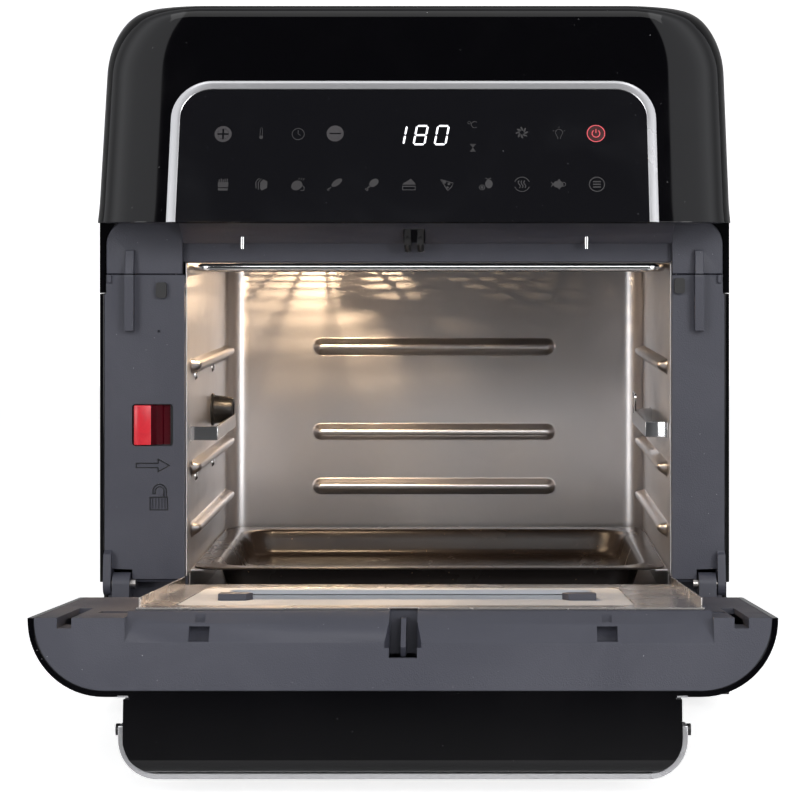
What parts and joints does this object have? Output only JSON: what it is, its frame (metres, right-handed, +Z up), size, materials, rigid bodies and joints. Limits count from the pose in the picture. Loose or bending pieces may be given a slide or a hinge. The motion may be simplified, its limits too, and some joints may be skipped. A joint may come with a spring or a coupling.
{
  "type": "countertop air fryer oven",
  "caption": "Box-shaped countertop air fryer oven with a drop-down windowed front door, bar handle, sloping touch panel and steel cooking space with a drip tray.",
  "frame": {"origin": "on the worktop, midway between the four feet", "axes": "+X to the right seen from the front, +Y to the back, +Z up; drawn with the door open"},
  "size_m": [0.33, 0.4729, 0.371],
  "materials": {
    "gloss_black": "high gloss black moulding",
    "charcoal": "fine-grained matt charcoal moulding",
    "bright_trim": "satin anodised strip",
    "cavity_steel": "satin sheet steel",
    "bright_steel": "bright folded sheet",
    "chrome": "bright chrome wire",
    "non_stick": "dark semi-gloss non-stick coat",
    "red_plastic": "red satin moulding",
    "rubber": "black rubber",
    "black_plastic": "black heat-proof moulding",
    "panel_glass": "smoked clear lens",
    "clear_glass": "clear tempered glass",
    "smoked_glass": "dark tinted tempered glass",
    "lamp_glass": "clear lamp glass",
    "board": "green circuit board",
    "display": "white segment display",
    "motor_metal": "plated motor case",
    "heater": "oxidised heater sheath"
  },
  "bodies": {
    "chassis": {"top_housing": "gloss_black", "control_panel": "panel_glass", "panel_trim": "bright_trim", "display_module": "display", "control_board": "board", "upper_bezel": "charcoal", "front_frame": "charcoal", "door_bumpers": "rubber", "door_catch": "black_plastic", "door_switch_left": "black_plastic", "door_switch_right": "black_plastic", "side_panel_left": "gloss_black", "side_panel_right": "gloss_black", "base_pan": "black_plastic", "feet": "rubber", "rear_cover": "black_plastic", "cover_screws": "bright_steel", "cord_inlet": "black_plastic", "cavity_shell": "cavity_steel", "cavity_supports": "cavity_steel", "cavity_rivets": "chrome", "ceiling_reflector": "cavity_steel", "exhaust_duct": "cavity_steel", "heater_coil": "heater", "heater_clips": "bright_steel", "heater_guard": "chrome", "lamp_holder": "bright_steel", "lamp_bulb": "lamp_glass", "lamp_lens": "clear_glass", "fan_motor": "motor_metal", "motor_bracket": "bright_steel", "rotisserie_motor": "motor_metal", "rotisserie_bracket": "bright_steel", "spit_bracket": "bright_steel", "power_board": "board", "thermostat": "bright_steel"},
    "door": {"door_shell": "gloss_black", "door_inner_frame": "charcoal", "door_liner": "bright_steel", "window_retainer": "bright_trim", "glass_clips": "charcoal", "inner_glass": "clear_glass", "outer_glass": "smoked_glass", "door_trim": "bright_trim", "handle_core": "gloss_black", "handle_strip": "bright_trim", "handle_studs": "black_plastic", "handle_screws": "bright_steel", "hinge_pins": "bright_steel", "catch_fin": "bright_steel"},
    "plunger_left": {"door_plunger_left": "chrome"},
    "plunger_right": {"door_plunger_right": "chrome"},
    "release": {"release_slider": "red_plastic", "release_arm": "bright_steel"},
    "tray": {"drip_tray": "non_stick"},
    "fan": {"convection_fan": "cavity_steel", "cooling_fan": "black_plastic", "fan_shaft": "bright_steel"},
    "spit_drive": {"spit_socket": "black_plastic"}
  },
  "joints": [
    {"name": "door_hinge", "type": "hinge", "parent": "chassis", "child": "door", "pos_m": [0, -0.1375, 0.067], "axis": [-1, 0, 0], "range_deg": [0, 85]},
    {"name": "release_slide", "type": "slide", "parent": "chassis", "child": "release", "axis": [1, 0, 0], "range_m": [0, 0.0045], "stiffness_N_per_m": 300, "springref_m": -0.004},
    {"name": "plunger_left_slide", "type": "slide", "parent": "chassis", "child": "plunger_left", "axis": [0, 0, 1], "range_m": [0, 0.0033]},
    {"name": "plunger_right_slide", "type": "slide", "parent": "chassis", "child": "plunger_right", "axis": [0, 0, 1], "range_m": [0, 0.0033]},
    {"name": "tray_slide", "type": "slide", "parent": "chassis", "child": "tray", "axis": [0, 1, 0], "range_m": [-0.024, 0]},
    {"name": "fan_spin", "type": "hinge", "parent": "chassis", "child": "fan", "pos_m": [0.0073, -0.0355, 0.28], "axis": [0, 0, 1], "continuous": true},
    {"name": "spit_spin", "type": "hinge", "parent": "chassis", "child": "spit_drive", "pos_m": [-0.12, -0.0225, 0.15], "axis": [1, 0, 0], "continuous": true}
  ],
  "couplings": [
    {"joint": "plunger_left_slide", "follows": "door_hinge", "m_per_rad": 0.002157},
    {"joint": "plunger_right_slide", "follows": "door_hinge", "m_per_rad": 0.002157}
  ]
}
